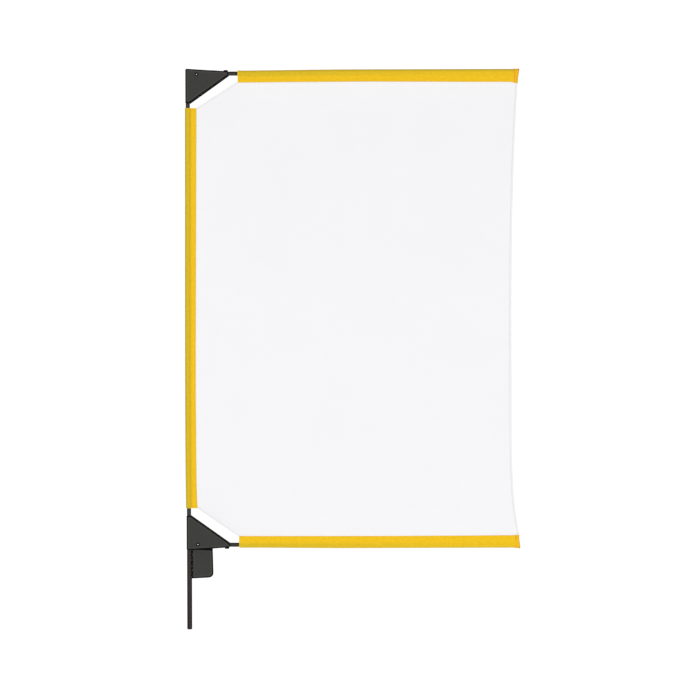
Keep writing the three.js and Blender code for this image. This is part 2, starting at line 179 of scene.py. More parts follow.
class Graph:
    """The node tree of a material or the world, with one method that adds any node."""

    def __init__(self, name, kind="materials"):
        self.owner = getattr(bpy.data, kind).new(name)
        self.owner.use_nodes = True
        self.tree = self.owner.node_tree
        self.tree.nodes.clear()

    def node(self, kind, settings=None, inputs=None, output=0):
        made = self.tree.nodes.new(kind)
        for key, value in (settings or {}).items():
            if key == "stops":
                self.set_stops(made.color_ramp.elements, value)
            else:
                setattr(made, key, value)
        for key, value in (inputs or {}).items():
            socket = made.inputs[key]
            if isinstance(value, Signal):
                self.tree.links.new(value.socket, socket)
            elif socket.type == "RGBA":
                socket.default_value = (*value, 1)
            elif socket.type == "VECTOR" and isinstance(value, (int, float)):
                socket.default_value = (value,) * 3
            else:
                socket.default_value = value
        return Signal(self, made.outputs[output]) if made.outputs else None

    def set_stops(self, elements, stops):
        while len(elements) < len(stops):
            elements.new(0.5)
        for element, (position, tone) in zip(elements, stops):
            element.position = position
            element.color = (tone, tone, tone, 1)

    def noise(self, place, scale, detail=2.0, roughness=0.5):
        return self.node(
            "ShaderNodeTexNoise", {},
            {"Vector": place, "Scale": scale, "Detail": detail, "Roughness": roughness},
        )

    def mix(self, share, first, second):
        return self.node("ShaderNodeMix", {"data_type": "RGBA"}, {0: share, 6: first, 7: second}, 2)

    def bump(self, height, strength, distance):
        return self.node(
            "ShaderNodeBump", {}, {"Strength": strength, "Distance": distance, "Height": height}
        )

    def surface(self, inputs):
        shader = self.node("ShaderNodeBsdfPrincipled", {}, inputs)
        self.node("ShaderNodeOutputMaterial", {}, {"Surface": shader})
        return self.owner

    def place(self):
        return self.node("ShaderNodeTexCoord", output=3)

    def strip(self):
        """Along and across a strip of cloth, in metres."""
        uv = self.node("ShaderNodeUVMap", {"uv_map": "strip"})
        along = self.node("ShaderNodeSeparateXYZ", {}, {0: uv}, 0)
        across = self.node("ShaderNodeSeparateXYZ", {}, {0: uv}, 1)
        return uv, along, across


TURN = 2 * math.pi


def scaled(base, share):
    """A colour made lighter or darker."""
    return tuple(min(1, c * share) for c in base)


def edge_distance(g, place, node, outline):
    """Distance from a point to the nearest side of a convex outline, given as (x, z) corners."""
    turn = node.matrix_world.inverted()
    corners = [turn @ Vector((x, node.matrix_world.translation.y, z)) for x, z in outline]
    centre = sum(corners, Vector()) / len(corners)
    nearest = None
    for corner, after in zip(corners, corners[1:] + corners[:1]):
        along = (after - corner).normalized()
        inside = Vector((-along.z, 0, along.x))
        if inside.dot(centre - corner) < 0:
            inside = -inside
        away = g.node("ShaderNodeVectorMath", {"operation": "DOT_PRODUCT"},
                      {0: place - tuple(corner), 1: tuple(inside)}, 1)
        nearest = away if nearest is None else nearest.least(away)
    return nearest


# Around a coated sheet: painted shade, a dark rim that fades out, and a painted highlight, a thin lighter
# line inside it.
SHADE_RIM_WIDTH = 2.7 * MM
SHADE_RIM_FADE = 1.1 * MM
HIGHLIGHT_INSET = 3.8 * MM
HIGHLIGHT_HALF = 1.4 * MM


def coat_material(name, base, roughness=0.46, shine=0.36, node=None, outline=()):
    """Satin powder coat: fine orange peel and uneven gloss. Given an outline, its edges get painted shade, a
    near-black metallic rim, and a painted highlight, a thin lighter line just inside it.
    """
    g = Graph(name)
    place = g.place()
    peel = g.noise(place, 1500, 2)
    cloud = g.noise(place, 38, 4, 0.6)
    rubbed = g.noise(place, 190, 5, 0.7)
    share = (rubbed - 0.5) * 1.6 + 0.3
    lighter = scaled(base, 1.5)
    colour_here = g.mix(share.clamped(0, 1), base, lighter)
    metallic = 0.0
    if outline:
        away = edge_distance(g, place, node, outline)
        highlight_offset = (away - HIGHLIGHT_INSET) * (1 / HIGHLIGHT_HALF)
        raised = (1 - highlight_offset * highlight_offset).clamped(0, 1)
        rim = ((SHADE_RIM_WIDTH - away) * (1 / SHADE_RIM_FADE)).clamped(0, 1)
        # Painted highlight: a thin lighter line a little inside the edge.
        colour_here = g.mix(raised * 0.7, colour_here, scaled(base, 2.2))
        # Painted shade: a near-black rim along the edge that fades inwards.
        colour_here = g.mix(rim, colour_here, (0.003, 0.003, 0.003))
        metallic = rim * 0.9
    return g.surface({
        "Base Color": colour_here,
        "Roughness": (cloud - 0.5) * 0.22 + roughness,
        "Metallic": metallic,
        "Specular IOR Level": shine,
        "Normal": g.bump(peel, 0.35, 0.00008),
    })


def shaded_edge_material(name, base):
    """The coat on the cut edges of sheet, dull, and darkened all over as painted shade."""
    g = Graph(name)
    cloud = g.noise(g.place(), 300, 3)
    return g.surface({
        "Base Color": g.mix(cloud, scaled(base, 0.3), scaled(base, 0.6)),
        "Roughness": cloud * 0.2 + 0.6,
        "Specular IOR Level": 0.12,
        "Normal": g.bump(cloud, 0.2, 0.00005),
    })


def metal_material(name, base, roughness, metallic, scale=(600, 600, 40), shine=0.5):
    """Drawn or turned metal with fine lines along its length."""
    g = Graph(name)
    place = g.place()
    lines = g.noise(place * scale, 1, 3, 0.6)
    cloud = g.noise(place, 45, 3)
    brighter = scaled(base, 1.6)
    return g.surface({
        "Base Color": g.mix(((lines - 0.5) * 1.2 + 0.35).clamped(0, 1), base, brighter),
        "Roughness": (cloud - 0.5) * 0.2 + roughness,
        "Metallic": metallic,
        "Specular IOR Level": shine,
        "Normal": g.bump(lines, 0.12, 0.00005),
    })


def moulded_material(name, base, roughness):
    g = Graph(name)
    place = g.place()
    grain = g.noise(place, 2200, 3, 0.6)
    cloud = g.noise(place, 120, 3)
    brighter = tuple(min(1, c * 1.7 + 0.004) for c in base)
    return g.surface({
        "Base Color": g.mix(cloud, base, brighter),
        "Roughness": (cloud - 0.5) * 0.15 + roughness,
        "Normal": g.bump(grain, 0.3, 0.00006),
    })


def twill_material(name, bright, backed, pitch=0.9 * MM):
    """Heavy twill: diagonal ribs, threads across them and slight mottle. Its lighter tone is painted light
    coming through the cloth, and it is darker over a rod, as painted shade where the rod keeps that light
    back.
    """
    g = Graph(name)
    uv, along, across = g.strip()
    rib = ((along + across) * (TURN / pitch)).sine() * 0.5 + 0.5
    weft = ((along - across * 0.3) * (TURN / (0.42 * pitch))).sine() * 0.5 + 0.5
    weave = rib * 0.7 + weft * 0.3
    mottle = g.noise(uv * (1, 1.6, 1), 170, 4, 0.65)
    slub = g.noise(uv * (900, 120, 1), 1, 2)
    over_rod = g.node("ShaderNodeAttribute", {"attribute_name": "backed"}, output=2)
    # Painted light: the lighter tone where light comes through the cloth, and the darker one, painted shade,
    # over the rod.
    tone = g.mix(over_rod, bright, backed)
    darker = g.mix(over_rod, scaled(bright, 0.86), scaled(backed, 0.86))
    share = weave * 0.2 + (mottle - 0.5) * 2.4 + slub * 0.2 + 0.3
    return g.surface({
        "Base Color": g.mix(share.clamped(0, 1), darker, tone),
        "Roughness": 0.92 - weave * 0.12,
        "Sheen Weight": 0.15,
        "Sheen Roughness": 0.5,
        "Specular IOR Level": 0.2,
        "Normal": g.bump(weave + slub * 0.4, 0.5, 0.00018),
    })


def silk_material(name, base, pitch=0.55 * MM, shade_factor=1.0):
    """Thin plain-weave diffusion cloth. Its last argument darkens it all over, which the doubled hems use as
    painted shade.
    """
    g = Graph(name)
    uv, along, across = g.strip()
    warp = (along * (TURN / pitch)).sine() * 0.5 + 0.5
    weft = (across * (TURN / pitch)).sine() * 0.5 + 0.5
    weave = warp * 0.5 + weft * 0.5
    slub = g.noise(uv * (60, 900, 1), 1, 3)
    slub_across = g.noise(uv * (900, 60, 1), 1, 3)
    cloud = g.noise(uv, 9, 2)
    shade = scaled(base, 0.955 * shade_factor)
    share = weave * 0.35 + slub * 0.25 + slub_across * 0.25 + cloud * 0.5 - 0.15
    return g.surface({
        "Base Color": g.mix(share.clamped(0, 1), shade, scaled(base, shade_factor)),
        "Roughness": 0.86 - weave * 0.1,
        "Sheen Weight": 0.1,
        "Specular IOR Level": 0.25,
        "Normal": g.bump(weave + slub * 0.5, 0.35, 0.00007),
    })


def thread_material(name, base):
    """Twisted thread; laid side by side it also makes the dense rows of a bar tack."""
    g = Graph(name)
    uv, along, across = g.strip()
    twist = ((along + across) * (TURN / (0.5 * MM))).sine() * 0.5 + 0.5
    gaps = g.noise(uv, 700, 2)
    share = (twist * 0.7 + gaps * 0.5 - 0.1).clamped(0, 1)
    return g.surface({
        "Base Color": g.mix(share, scaled(base, 0.8), base),
        "Roughness": 0.75 - twist * 0.15,
        "Normal": g.bump(twist, 0.4, 0.00008),
    })


def pile_material(name, scale, roughness):
    """Woven nylon tape with a dense pile."""
    g = Graph(name)
    place = g.place()
    pile = g.noise(place, scale, 4, 0.75)
    wide = g.noise(place, scale / 12, 2)
    return g.surface({
        "Base Color": g.mix(pile * 0.8 + wide * 0.2, (0.006, 0.006, 0.006), (0.045, 0.045, 0.047)),
        "Roughness": roughness - wide * 0.1,
        "Normal": g.bump(pile, 0.8, 0.0003),
    })


# ---- Mesh helpers ---------------------------------------------------------------------------------

def dress(node, material):
    """Give a CAD piece one material."""
    node.data.materials.clear()
    node.data.materials.append(material)


def new_object(name, mesh, material=None):
    made = bpy.data.objects.new(name, mesh)
    bpy.context.scene.collection.objects.link(made)
    if material:
        made.data.materials.append(material)
    return made


def grid_faces(rows, columns, closed, first=0):
    """Quads over a grid of vertices whose numbers start at first."""
    last = columns if closed else columns - 1
    return [
        tuple(first + row * columns + column % columns for row, column in (
            (r, c), (r, c + 1), (r + 1, c + 1), (r + 1, c)))
        for r in range(rows - 1) for c in range(last)
    ]


def rim_faces(rows, columns, closed, count):
    """Quads that join the two layers of a thick grid along its edges."""
    edges = [[c % columns for c in range(columns + closed)]]
    edges.append([(rows - 1) * columns + v for v in edges[0]][::-1])
    if not closed:
        edges.append([r * columns for r in range(rows)][::-1])
        edges.append([r * columns + columns - 1 for r in range(rows)])
    return [(b, a, a + count, b + count) for edge in edges for a, b in zip(edge, edge[1:])]


def grid_object(name, points, material, thickness=0.0, closed=False, uv=None, backed=None):
    """A surface through a grid of points, rows along a piece and columns across it."""
    table = np.array([[tuple(p) for p in row] for row in points])
    rows, columns = table.shape[:2]
    count = rows * columns
    faces = grid_faces(rows, columns, closed)
    layers = [table]
    if thickness:
        down = np.gradient(table, axis=0)
        if closed:
            over = np.roll(table, -1, axis=1) - np.roll(table, 1, axis=1)
        else:
            over = np.gradient(table, axis=1)
        normal = np.cross(over, down)
        normal /= np.maximum(np.linalg.norm(normal, axis=2, keepdims=True), 1e-12)
        layers = [table + normal * thickness / 2, table - normal * thickness / 2]
        faces += [face[::-1] for face in grid_faces(rows, columns, closed, count)]
        faces += rim_faces(rows, columns, closed, count)
    mesh = bpy.data.meshes.new(name)
    mesh.from_pydata(np.concatenate([layer.reshape(-1, 3) for layer in layers]).tolist(), [], faces)
    if uv is not None:
        places = np.array(uv, dtype=float).reshape(-1, 2)
        wide = places[:, 1].max() * columns / (columns - 1)
        layer = mesh.uv_layers.new(name="strip")
        for face in mesh.polygons:
            at_seam = closed and {v % columns for v in face.vertices} >= {0, columns - 1}
            for corner, vertex in zip(face.loop_indices, face.vertices):
                u, v = places[vertex % count]
                layer.data[corner].uv = (u, v + wide if at_seam and vertex % columns == 0 else v)
    if backed is not None:
        attribute = mesh.attributes.new("backed", "FLOAT", "POINT")
        attribute.data.foreach_set("value", [b for row in backed for b in row] * len(layers))
    mesh.polygons.foreach_set("use_smooth", [True] * len(mesh.polygons))
    mesh.set_sharp_from_angle(angle=math.radians(55))
    return new_object(name, mesh, material)


def smooth_step(t):
    t = min(1.0, max(0.0, t))
    return t * t * (3 - 2 * t)


def wobble(x, y, seed=0.0):
    """A smooth value from about -1 to 1, the same each run."""
    return noise.noise(Vector((x, y, SEED + seed)))


# ---- Cloth layout ---------------------------------------------------------------------------------

HEM_HALF = 0.34 * MM  # half the thickness of the panel's folded hem
HEM_PUCKER = 0.05 * MM
ROW_STEP = 3.5 * MM  # between the rows of a sleeve's mesh
SEAM_STEP = 4 * MM  # between the points that a seam follows
SLEEVE_BOW = 2.1 * MM  # of an arm sleeve's rod side, outward
SWAY = 0.25 * MM  # slow wander of an arm sleeve's sewn edge
SWELL = 0.16 * MM  # slow unevenness of sleeve cloth
PUCKER = 0.1 * MM  # pull of the stitches on sleeve cloth
PUCKER_PITCH = 7.5 * MM
TUCK = 1.5 * MM  # of the panel, inside each arm sleeve's sewn edge
END_FLARE = {"upper": 2.2 * MM, "lower": 0.3 * MM}  # of the sewn edge, towards the panel
END_FLARE_LENGTH = 0.02
PANEL_LEFT = BAND_END_X - 3.5 * MM  # the panel's edge inside the spine sleeve


def along_arm(x):
    """Share of the arm sleeve's length at x."""
    return (x - ARM_SLEEVE_X[0]) / (ARM_SLEEVE_X[1] - ARM_SLEEVE_X[0])


def free_edge_x(z):
    """The free edge's place: it reaches the bindings at the arms and is drawn in between them."""
    share = (z - PANEL_Z[0]) / (PANEL_Z[1] - PANEL_Z[0])
    lowest, dip = 0.38, 14.8 * MM
    if share < lowest:
        return PANEL_X[1] - dip * (1 - max(0.0, 1 - share / lowest) ** 5.3)
    return PANEL_X[1] - dip + (dip - 1.4 * MM) * ((share - lowest) / (1 - lowest)) ** 2.7


def bow(x):
    """Share of an arm sleeve's outward bow at x: little at the mouth, full from two fifths on."""
    return 0.25 + 0.75 * smooth_step(along_arm(x) / 0.4)


def edge_bow(side, x):
    """How far the sewn edge of an arm sleeve lies outside its straight place."""
    along = along_arm(x)
    middle_part = math.sin(math.pi * min(1, max(0, along))) ** 1.5
    if side == "upper":
        return 1.0 * MM + 1.1 * MM * middle_part - 0.5 * MM * smooth_step(along / 0.4 - 1)
    return 0.1 * MM + 0.6 * MM * middle_part


def cut_height(side, x):
    """The panel's boundary at x: a straight cut at the corner, then along the arm sleeve."""
    upper = side == "upper"
    tuck = TUCK + edge_bow(side, x)
    edge = SLEEVE_EDGE[side] + (tuck if upper else -tuck)
    corner = SPINE_SLEEVE_Z[1 if upper else 0]
    share = (x - BAND_END_X) / (ARM_SLEEVE_X[0] - BAND_END_X)
    return corner + (edge - corner) * min(1.0, max(0.0, share))


def ripple(x, z, sizes):
    """How far the panel stands off its plane. It lies flat where it is sewn and beside the spine."""
    calm, sewn = 0.17, 4 * MM
    start = smooth_step((x - calm) / 0.12)
    free = smooth_step((PANEL_X[1] - x) / 0.02) * 0.5 + 0.5
    held = smooth_step((z - PANEL_Z[0]) / 0.12) * smooth_step((PANEL_Z[1] - z) / 0.12)
    phase = x / sizes.ripple_pitch * TURN + 1.3 * wobble(z * 2.2, 0.4) + 0.5 * math.sin(z * 5)
    seam = smooth_step((z - PANEL_Z[0] - sewn) / 0.03) * smooth_step((PANEL_Z[1] - sewn - z) / 0.03)
    return sizes.ripple * start * free * seam * (0.3 + 0.7 * held) * math.sin(phase)


def squash_panel(piece):
    """Gives a piece of the panel its own copy of its mesh."""
    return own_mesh(piece)


class Section:
    """A sleeve across its rod. s runs from the rod's axis towards the sewn edge and w across it."""

    def __init__(self, side, sizes, grow=0.0):
        y, z = arm_axis(side)
        self.centre = Vector((0, y, z))
        edge = Vector((0, 0, SLEEVE_EDGE[side]))
        self.depth = (edge - self.centre).length
        self.along = (edge - self.centre).normalized()
        self.across = Vector((1, 0, 0)).cross(self.along)
        self.radius = sizes.pocket + grow
        self.edge_half = 0.6 * MM + grow  # half the gap between the layers at the sewn edge
        self.split = 3.6 * MM  # the pocket ends here and the two flaps begin

    def straight(self, s, sign):
        """A point of the layer between the rod and the sewn edge."""
        start = self.radius ** 2 / self.depth
        t = (s - start) / (self.depth - start)
        wide = math.sqrt(self.radius ** 2 - start ** 2)
        drawn = 1 - max(0.0, 1 - t) ** 1.25
        return s, sign * (wide + (self.edge_half - wide) * drawn)

    def pocket(self, steps=30):
        angle = math.acos(self.radius / self.depth)
        arc = spread(angle, TURN - angle, steps)
        round_part = [(self.radius * math.cos(a), self.radius * math.sin(a)) for a in arc]
        return [self.straight(self.split, 1), *round_part, self.straight(self.split, -1)]

    def layer(self, sign, end, steps=10):
        return [self.straight(s, sign) for s in spread(self.split, end, steps)]

    def point(self, x, s, w):
        """A point of the cloth. Round the rod it stays on its own side of the middle plane."""
        spot = Vector((x, 0, 0)) + self.centre + self.along * s + self.across * w
        own_side = math.copysign(1, self.centre.y)
        least = 0.78 * MM * (1 - smooth_step((s - 3 * MM) / (6 * MM)))
        if least > 0 and spot.y * own_side < least:
            spot.y = own_side * least
        return spot


def strip_lengths(points):
    lengths = [0.0]
    for (s0, w0), (s1, w1) in zip(points, points[1:]):
        lengths.append(lengths[-1] + math.hypot(s1 - s0, w1 - w0))
    return lengths


def lay_strip(name, section, outline, xs, material, thickness, lift, backing):
    """One strip of cloth along X with this outline across it."""
    across = strip_lengths(outline)
    points, uv, backed = [], [], []
    for x in xs:
        row = []
        for s, w in outline:
            s, w, here = lift(x, s, w)
            row.append(section.point(here, s, w))
        points.append(row)
        uv.append([(x, v) for v in across])
        backed.append([backing(x, s) for s, _ in outline])
    return grid_object(name, points, material, thickness, uv=uv, backed=backed), across[-1]


def over_rod(x, s):
    """1 where the cloth lies on the rod and 0 well clear of it. It hugs the rod less further out. It sets
    where the sleeves take their darker tone, painted shade where the rod keeps light from coming through.
    """
    along = smooth_step(along_arm(x))
    deep = 1 - smooth_step((s - 1.5 * MM) / (7 * MM))
    shallow = 1 - smooth_step((s + 3.5 * MM) / (4 * MM))
    return deep + (shallow - deep) * 0.75 * along


def spread(start, end, count):
    """Places at even steps from start to end."""
    return [start + (end - start) * i / count for i in range(count + 1)]


def row_places(start, end, step):
    return spread(start, end, max(2, round((end - start) / step)))


# ---- Stitches -------------------------------------------------------------------------------------

def stitch_row(name, path, normals, sizes, material):
    """A row of separate stitches along a path, each a short rounded thread that dips at its ends."""
    mesh = bpy.data.meshes.new(name)
    made = bmesh.new()
    layer = made.loops.layers.uv.new("strip")
    lengths = [0.0]
    for a, b in zip(path, path[1:]):
        lengths.append(lengths[-1] + (b - a).length)

    def at(distance):
        index = next((i for i in range(1, len(lengths)) if lengths[i] >= distance), len(lengths) - 1)
        share = (distance - lengths[index - 1]) / max(1e-9, lengths[index] - lengths[index - 1])
        return path[index - 1].lerp(path[index], share), normals[index - 1].lerp(normals[index], share)

    sides, rings = 6, 5
    pitch = sizes.stitch + sizes.stitch_gap
    for number in range(int(lengths[-1] / pitch)):
        loops = []
        for ring in range(rings):
            t = ring / (rings - 1)
            distance = number * pitch + sizes.stitch_gap / 2 + sizes.stitch * t
            spot, normal = at(distance)
            ahead = at(min(lengths[-1], distance + 0.2 * MM))[0] - at(max(0, distance - 0.2 * MM))[0]
            ahead.normalize()
            side = normal.cross(ahead).normalized()
            fat = sizes.thread / 2 * (0.35 + 0.65 * math.sin(math.pi * t) ** 0.5)
            rise = sizes.thread * (0.75 * math.sin(math.pi * t) - 0.35)
            centre = spot + normal * rise
            loops.append([
                made.verts.new(centre + side * (fat * math.cos(TURN * k / sides))
                               + normal * (fat * math.sin(TURN * k / sides)))
                for k in range(sides)
            ])
        for ring in range(rings - 1):
            for k in range(sides):
                face = made.faces.new((
                    loops[ring][k], loops[ring][(k + 1) % sides],
                    loops[ring + 1][(k + 1) % sides], loops[ring + 1][k],
                ))
                places = ((ring, k), (ring, k + 1), (ring + 1, k + 1), (ring + 1, k))
                for corner, (u, v) in zip(face.loops, places):
                    corner[layer].uv = (u * sizes.stitch / rings, v * sizes.thread / 2)
        made.faces.new(loops[0])
        made.faces.new(list(reversed(loops[-1])))
    made.normal_update()
    made.to_mesh(mesh)
    made.free()
    for face in mesh.polygons:
        face.use_smooth = True
    return new_object(name, mesh, material)


# ---- Operators ------------------------------------------------------------------------------------

class SCRIM_OT_stage(bpy.types.Operator):
    """Make the camera, the light and the floor"""
    bl_idname = "scrim.stage"
    bl_label = "Stage"

    def execute(self, context):
        self.camera(context)
        self.world(context)
        self.lamps(context)
        self.floor(context)
        return {"FINISHED"}

    def camera(self, context):
        across, height, distance = 0.3061, 0.5297, 5.0
        seen_width, roll = 1.33, math.radians(0.173)
        data = bpy.data.cameras.new("camera")
        data.sensor_width = 36
        data.lens = data.sensor_width * distance / seen_width
        data.clip_end = 100
        camera = bpy.data.objects.new("camera", data)
        camera.location = (across, -distance, height)
        camera.rotation_euler = (math.radians(90), roll, 0)
        context.scene.collection.objects.link(camera)
        context.scene.camera = camera
        context.scene.view_settings.view_transform = "Standard"
        context.scene.view_settings.look = "None"

    def world(self, context):
        """White where the camera looks past the object, and softer light that falls off to the sides."""
        g = Graph("studio", "worlds")
        backward = g.node("ShaderNodeSeparateXYZ", {}, {0: g.node("ShaderNodeTexCoord")}, 1)
        tones = ((0.05, 1.15), (0.40, 0.15), (0.62, 0.15), (1.0, 0.66))
        tone = g.node("ShaderNodeValToRGB", {"stops": tones}, {0: (backward + 1) * 0.5})
        light = g.node("ShaderNodeBackground", {}, {"Color": (1, 1, 1), "Strength": tone})
        seen = g.node("ShaderNodeBackground", {}, {"Color": (1, 1, 1), "Strength": 1.05})
        looking = g.node("ShaderNodeLightPath")
        pick = g.node("ShaderNodeMixShader", {}, {0: looking, 1: light, 2: seen})
        g.node("ShaderNodeOutputWorld", {}, {"Surface": pick})
        context.scene.world = g.owner

    def lamps(self, context):
        aim = Vector((0.31, 0, 0.55))
        lamps = (
            ("key_lamp", (-1.9, -3.6, 0.8), 2.2, 19),
            ("fill_lamp", (2.6, -3.0, 0.3), 2.4, 13),
            ("back_lamp", (1.2, 3.0, 2.4), 2.4, 26),
        )
        for name, spot, size, power in lamps:
            data = bpy.data.lights.new(name, "AREA")
            data.size = size
            data.energy = power
            lamp = bpy.data.objects.new(name, data)
            lamp.location = spot
            lamp.rotation_euler = (aim - Vector(spot)).to_track_quat("-Z", "Y").to_euler()
            context.scene.collection.objects.link(lamp)

    def floor(self, context):
        """A pale round floor below the pin, which fades out towards its rim."""
        centre, drop, radius, steps = 0.31, 0.36, 1.5, 64
        made = bmesh.new()
        rings = []
        for r in (0.0, 0.5, 1.0):
            rings.append([
                made.verts.new((centre + radius * r * math.cos(TURN * i / steps),
                                radius * r * math.sin(TURN * i / steps), -drop))
                for i in range(steps if r else 1)
            ])
        for i in range(steps):
            after = (i + 1) % steps
            made.faces.new((rings[0][0], rings[1][i], rings[1][after]))
            made.faces.new((rings[1][i], rings[2][i], rings[2][after], rings[1][after]))
        mesh = bpy.data.meshes.new("floor")
        made.to_mesh(mesh)
        made.free()
        g = Graph("pale_floor")
        place = g.place()
        cloud = g.noise(place, 3, 3)
        falloff = g.node("ShaderNodeTexGradient", {"gradient_type": "SPHERICAL"},
                         {0: (place - (centre, 0, -drop)) * (1 / radius)}, 1)
        floor = new_object("floor", mesh, g.surface({
            "Base Color": g.mix(cloud, (0.86, 0.86, 0.86), (0.9, 0.9, 0.9)),
            "Roughness": 0.8 + cloud * 0.1,
            "Emission Color": (1, 1, 1),
            "Emission Strength": 0.42,
            "Alpha": (falloff * 2.5).clamped(0, 1),
        }))


class SCRIM_OT_metalwork(bpy.types.Operator):
    """Finish the brackets, rods, pin, paddle and small parts of the frame"""
    bl_idname = "scrim.metalwork"
    bl_label = "Metalwork"

    def execute(self, context):
        colours = context.scene.scrim_colours
        finishes = {
            "spine_block": coat_material("block_powder_coat", colours.coat, 0.52),
            "spine_tube": metal_material("spine_black_lacquer", colours.rod, 0.26, 0.0, shine=0.42),
            "arm": metal_material("arm_black_lacquer", colours.rod, 0.2, 0.0, (40, 600, 600), 0.42),
            "grip_pin": metal_material("pin_blackened_steel", colours.pin, 0.16, 0.0, shine=0.3),
            "pivot_rivet": coat_material("black_rivet", (0.004, 0.0035, 0.003), 0.5, 0.12),
            "friction_washer": metal_material("zinc_washer", (0.5, 0.5, 0.47), 0.35, 1.0),
            "pivot_spacer": moulded_material("black_nylon", (0.012, 0.012, 0.012), 0.5),
            "arm_end_plug": moulded_material("plug_nylon", (0.012, 0.012, 0.012), 0.45),
            "stop_pad": moulded_material("stop_rubber", (0.009, 0.009, 0.009), 0.85),
        }
        outlines = {f"{side}_bracket": self.bracket_outline(side) for side in SIDES}
        outlines["paddle_plate"] = self.paddle_outline()
        edge = shaded_edge_material("powder_coat_shaded_edge", colours.coat)
        bevels = {"bracket": 0.7, "paddle_plate": 0.9, "spine_block": 0.4}
        for name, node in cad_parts.items():
            kind = name.removeprefix("upper_").removeprefix("lower_")
            if name in outlines:
                finish = coat_material(f"{name}_coat", colours.coat, node=node, outline=outlines[name])
            elif kind in finishes:
                finish = finishes[kind]
            else:
                continue
            dress(node, finish)
            self.soften(node, bevels.get(kind, 0.15) * MM)
            if kind in bevels:
                # The bevel faces take the darker edge material: painted shade along the edges.
                node.data.materials.append(edge)
                node.modifiers["edges"].material = 1
        steel = metal_material("mandrel_steel", (0.72, 0.71, 0.68), 0.22, 1.0)
        for side in SIDES:
            self.mandrel(side, steel)
        return {"FINISHED"}

    def bracket_outline(self, side):
        """A cheek's corners, from its foot on the spine round to the tip of its long side."""
        (x0, x1), (z0, z1) = span(f"{side}_bracket", 0), span(f"{side}_bracket", 2)
        up = 1 if side == "upper" else -1
        foot, top = (z0, z1) if side == "upper" else (z1, z0)
        axis = arm_axis(side)[1]
        return [(x0, foot), (x0, top), (x1, axis + up * 3.8 * MM), (x1, axis - up * 3.2 * MM),
                (x0 + 2 * ROD_RADIUS, foot)]

    def paddle_outline(self):
        """The paddle's corners. A straight line stands for the round lower one, touching its arc."""
        (x0, x1), (z0, z1) = span("paddle_plate", 0), span("paddle_plate", 2)
        drop, lean, lift, cut = 2.4 * MM, 1.4 * MM, 2 * MM, 5.9 * MM
        return [(x0, z0), (x1 - cut, z0 + lift), (x1, z0 + lift + cut), (x1 - lean, z1 - drop), (x0, z1)]

    def mandrel(self, side, material):
        """The broken steel end that is left in the front of each rivet."""
        centre = middle(f"{side}_pivot_rivet")
        face = span(f"{side}_pivot_rivet", 1)[0]
        profile = ((0.3, 0.10), (0.9, 0.16), (1.2, 0.5), (1.2, 1.4), (1.2, 2.6))
        turns = [TURN * i / 24 for i in range(24)]
        rows = [
            [Vector((centre.x + radius * MM * math.cos(a), face + depth * MM,
                     centre.z + radius * MM * math.sin(a))) for a in turns]
            for radius, depth in profile
        ]
        piece = grid_object(f"{side}_rivet_mandrel", rows, material, closed=True)
        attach(piece, ROOT)

    def soften(self, node, width):
        """Rounds a node's edges, and shades its curved faces smoothly, without moving a vertex."""
        if "custom_normal" in node.data.attributes:
            node.data.attributes.remove(node.data.attributes["custom_normal"])
        for face in node.data.polygons:
            face.use_smooth = True
        weld = node.modifiers.new("weld", "WELD")
        weld.merge_threshold = 0.002 * MM
        bevel = node.modifiers.new("edges", "BEVEL")
        bevel.width = width
        bevel.segments = 3
        bevel.limit_method = "ANGLE"
        bevel.angle_limit = math.radians(40)
        bevel.use_clamp_overlap = True
        bevel.harden_normals = True


